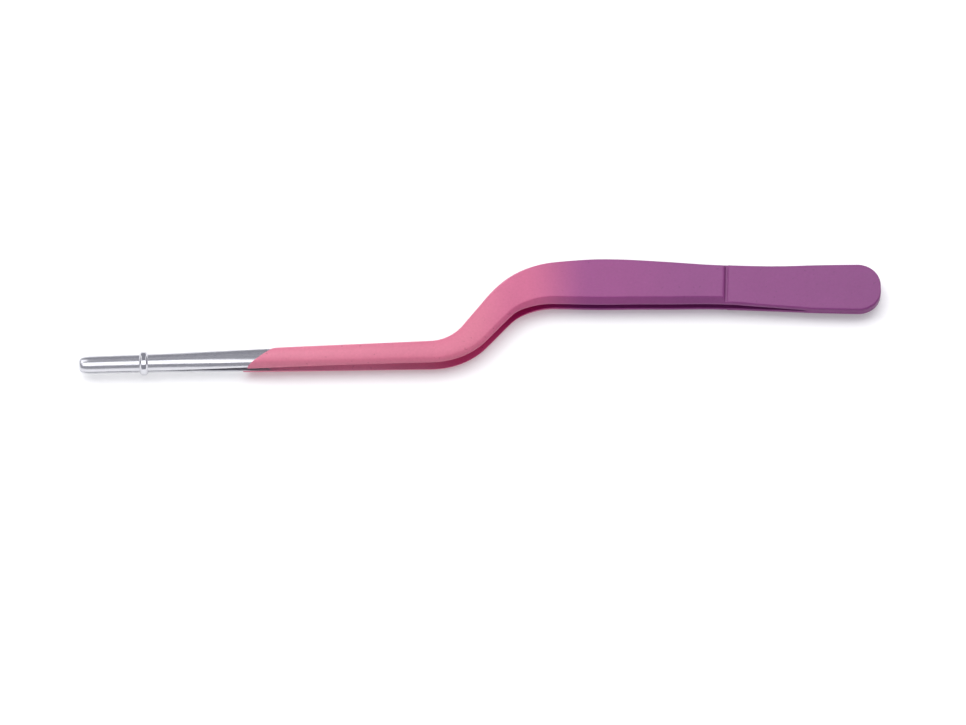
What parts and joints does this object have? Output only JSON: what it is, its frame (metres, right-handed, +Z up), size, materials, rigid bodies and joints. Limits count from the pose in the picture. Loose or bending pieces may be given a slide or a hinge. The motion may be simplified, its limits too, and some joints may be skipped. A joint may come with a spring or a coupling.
{
  "type": "bayonet forceps",
  "caption": "Bayonet forceps lying closed on one side: two coated spring arms joined at the tail, an offset flat handle, and slim half-round serrated bare jaws with a stop collar.",
  "frame": {"origin": "centre of the bounding box in plan, on the surface that the forceps lie on", "axes": "+X along the jaws and shaft, from the tips to the tail; +Y the side that the handle is offset to; +Z up, the way the upper arm opens"},
  "size_m": [0.18, 0.0262, 0.0054],
  "materials": {
    "steel": "polished, with fine lengthwise brushing",
    "pink_coat": "matte powder coat that runs from pink at the jaws to purple at the handle",
    "purple_coat": "matte purple powder coat",
    "braze": "rough brazing filler, hidden in the tail"
  },
  "bodies": {
    "lower_arm": {"lower_arm": "steel", "lower_arm_coat": "pink_coat", "lower_collar": "steel", "guide_pin": "steel"},
    "tail": {"lower_leaf_root": "steel", "upper_leaf_root": "steel", "braze_layer": "braze", "tail_coat": "purple_coat"},
    "upper_arm": {"upper_arm": "steel", "upper_arm_coat": "pink_coat", "upper_collar": "steel"}
  },
  "joints": [
    {"name": "lower_leaf_bend", "type": "hinge", "parent": "lower_arm", "child": "tail", "pos_m": [0.0636, 0.00483, 0.00174], "axis": [0.0633, 0.998, 0], "range_deg": [0, 2.5], "stiffness_Nm_per_rad": 1},
    {"name": "upper_leaf_bend", "type": "hinge", "parent": "tail", "child": "upper_arm", "pos_m": [0.0636, 0.00483, 0.00366], "axis": [0.0633, 0.998, 0], "range_deg": [0, 2.5], "stiffness_Nm_per_rad": 1}
  ],
  "couplings": [
    {"joint": "upper_leaf_bend", "follows": "lower_leaf_bend", "ratio": 1}
  ]
}
